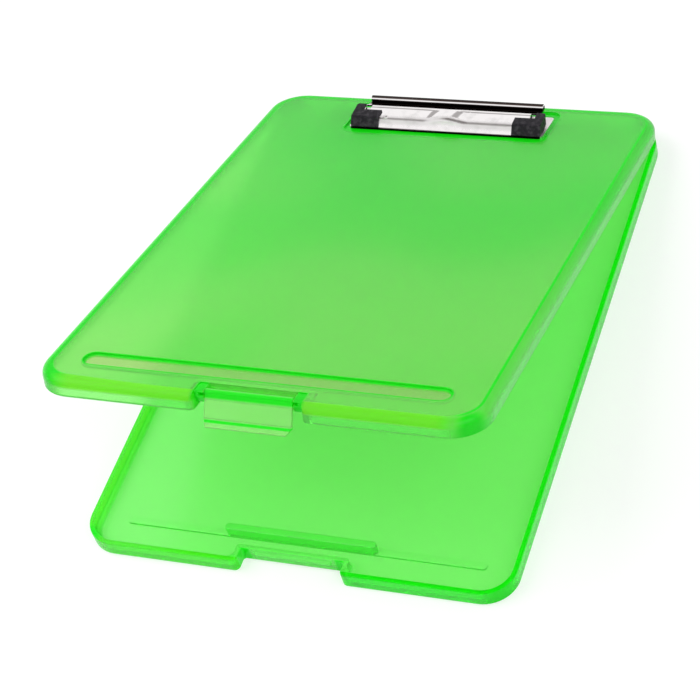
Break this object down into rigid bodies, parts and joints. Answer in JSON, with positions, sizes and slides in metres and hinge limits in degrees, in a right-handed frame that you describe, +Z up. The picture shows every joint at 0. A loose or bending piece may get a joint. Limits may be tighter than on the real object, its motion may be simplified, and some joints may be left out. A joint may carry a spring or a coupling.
{
  "type": "storage clipboard box",
  "caption": "Shallow tray box with a hinged lid, a swinging front latch and a low spring clip on the lid for holding papers.",
  "frame": {"origin": "centre of the tray's flat underside", "axes": "+Z up, +Y from the latch at the front to the hinge at the rear, +X to the right seen from the front"},
  "size_m": [0.237, 0.3349, 0.1175],
  "materials": {
    "green_base": "translucent fluorescent green, glossy",
    "green_lid": "translucent fluorescent green, glossy",
    "green_latch": "translucent fluorescent green, glossy",
    "steel_pin": "drawn wire, satin",
    "chrome_plate": "bright plated",
    "chrome_jaw": "bright plated",
    "spring_steel": "spring wire, plated",
    "black_rubber": "matte black",
    "rivet_metal": "satin"
  },
  "bodies": {
    "tray": {"base_tray": "green_base", "hinge_pin_left": "steel_pin", "hinge_pin_right": "steel_pin"},
    "lid": {"lid_shell": "green_lid", "clip_base_plate": "chrome_plate", "clip_rivets": "rivet_metal", "clip_pivot_rod": "steel_pin", "clip_spring_left": "spring_steel", "clip_spring_right": "spring_steel"},
    "latch": {"latch": "green_latch"},
    "jaw": {"clip_jaw_plate": "chrome_jaw", "clip_grip_left": "black_rubber", "clip_grip_right": "black_rubber"}
  },
  "joints": [
    {"name": "lid_hinge", "type": "hinge", "parent": "tray", "child": "lid", "pos_m": [0, 0.1616, 0.005], "axis": [-1, 0, 0], "range_deg": [-17.8, 74.2]},
    {"name": "latch_hinge", "type": "hinge", "parent": "lid", "child": "latch", "pos_m": [0, -0.14046, 0.1149], "axis": [-1, 0, 0], "range_deg": [-27, 68]},
    {"name": "clip_jaw_hinge", "type": "hinge", "parent": "lid", "child": "jaw", "pos_m": [0, 0.14906, 0.02678], "axis": [-1, 0, 0], "range_deg": [0, 26], "stiffness_Nm_per_rad": 0.25, "springref_deg": -57.3, "deforming": ["clip_spring_left", "clip_spring_right"]}
  ]
}
